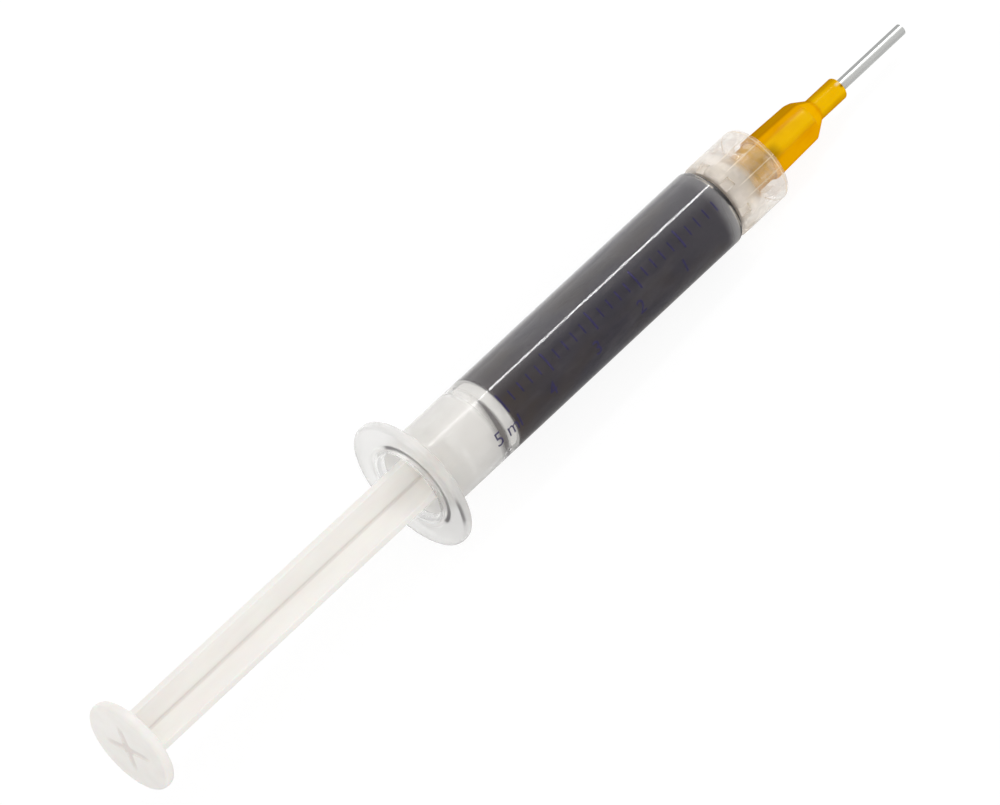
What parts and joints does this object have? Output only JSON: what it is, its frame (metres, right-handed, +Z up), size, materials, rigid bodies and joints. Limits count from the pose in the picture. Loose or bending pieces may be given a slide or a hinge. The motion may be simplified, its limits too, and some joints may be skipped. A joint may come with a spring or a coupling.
{
  "type": "solder paste syringe",
  "caption": "Clear hand syringe filled with grey solder paste, with a ribbed plunger, a turning lock collar and an amber blunt steel dispensing tip.",
  "frame": {"origin": "on the table under the middle of the whole length, where the bottom of the bounding box is", "axes": "+X along the syringe towards the steel tip, as seen from above, +Z up; the syringe lies at rest, nose down by 3.6 degrees"},
  "size_m": [0.1678, 0.022, 0.0225],
  "materials": {
    "clear_barrel": "clear gloss polypropylene with violet scale print",
    "frosted_collar": "translucent, lightly frosted",
    "white_rod": "translucent white, satin",
    "pale_rubber": "pale silicone rubber, satin",
    "grey_paste": "dark grey paste, fine grained and wet against the wall",
    "amber_hub": "translucent amber gloss",
    "steel_tube": "drawn stainless tube",
    "cream_adhesive": "cured cream adhesive, glossy"
  },
  "bodies": {
    "barrel": {"barrel": "clear_barrel", "solder_paste": "grey_paste"},
    "plunger": {"plunger_rod": "white_rod", "stopper": "pale_rubber", "paste_smear": "grey_paste"},
    "collar": {"lock_collar": "frosted_collar"},
    "tip": {"tip_hub": "amber_hub", "cannula": "steel_tube", "adhesive_bead": "cream_adhesive"}
  },
  "joints": [
    {"name": "plunger_slide", "type": "slide", "parent": "barrel", "child": "plunger", "axis": [0.998, 0, -0.0635], "range_m": [-0.0013, 0.0479], "deforming": ["solder_paste"]},
    {"name": "collar_turn", "type": "hinge", "parent": "barrel", "child": "collar", "pos_m": [0.04166, 0, 0.00684], "axis": [-0.998, 0, 0.0635], "range_deg": [0, 290]},
    {"name": "tip_slide", "type": "slide", "parent": "barrel", "child": "tip", "axis": [0.998, 0, -0.0635], "range_m": [0, 0.00403]}
  ],
  "couplings": [
    {"joint": "collar_turn", "follows": "tip_slide", "rad_per_m": 1256.6}
  ]
}
